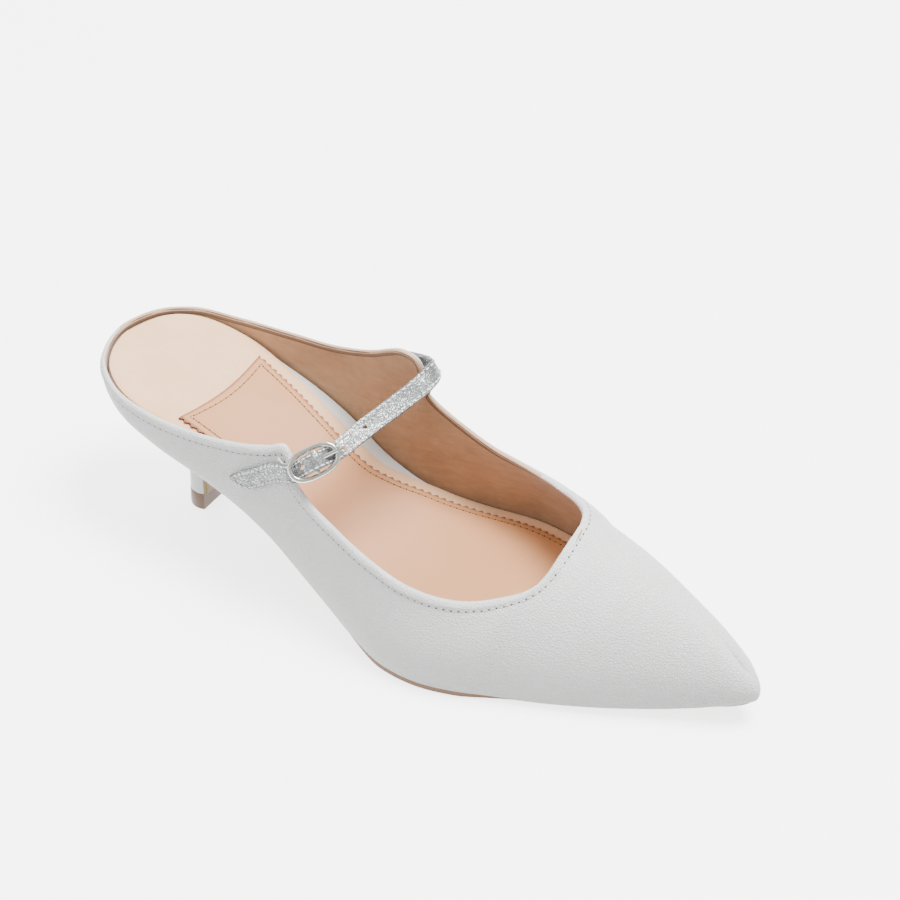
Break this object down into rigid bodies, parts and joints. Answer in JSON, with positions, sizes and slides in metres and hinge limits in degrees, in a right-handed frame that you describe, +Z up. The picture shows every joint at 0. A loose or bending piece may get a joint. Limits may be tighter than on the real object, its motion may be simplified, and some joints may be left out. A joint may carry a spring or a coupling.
{
  "type": "pointed kitten-heel mule",
  "caption": "Backless pointed mule for the right foot, smooth upper open at the instep, glitter strap with an oval buckle, cushioned insole and a slim covered heel.",
  "frame": {"origin": "on the floor, under the middle of the shoe's bounding box", "axes": "+X towards the toe, +Y towards the inner side of the foot, +Z up"},
  "size_m": [0.2518, 0.0822, 0.0811],
  "materials": {
    "upper": "smooth",
    "footbed": "smooth",
    "sock": "suede",
    "sock_pad": "smooth",
    "outsole": "satin",
    "heel": "smooth",
    "top_piece": "matte",
    "breast_cover": "satin",
    "strap": "glitter",
    "buckle": "polished",
    "prong": "polished",
    "buckle_loop": "smooth"
  },
  "bodies": {
    "root": {"upper": "upper", "footbed": "footbed", "sock": "sock", "sock_pad": "sock_pad", "outsole": "outsole", "heel": "heel", "top_piece": "top_piece", "breast_cover": "breast_cover", "strap": "strap", "buckle": "buckle", "prong": "prong", "buckle_loop": "buckle_loop"}
  },
  "joints": []
}
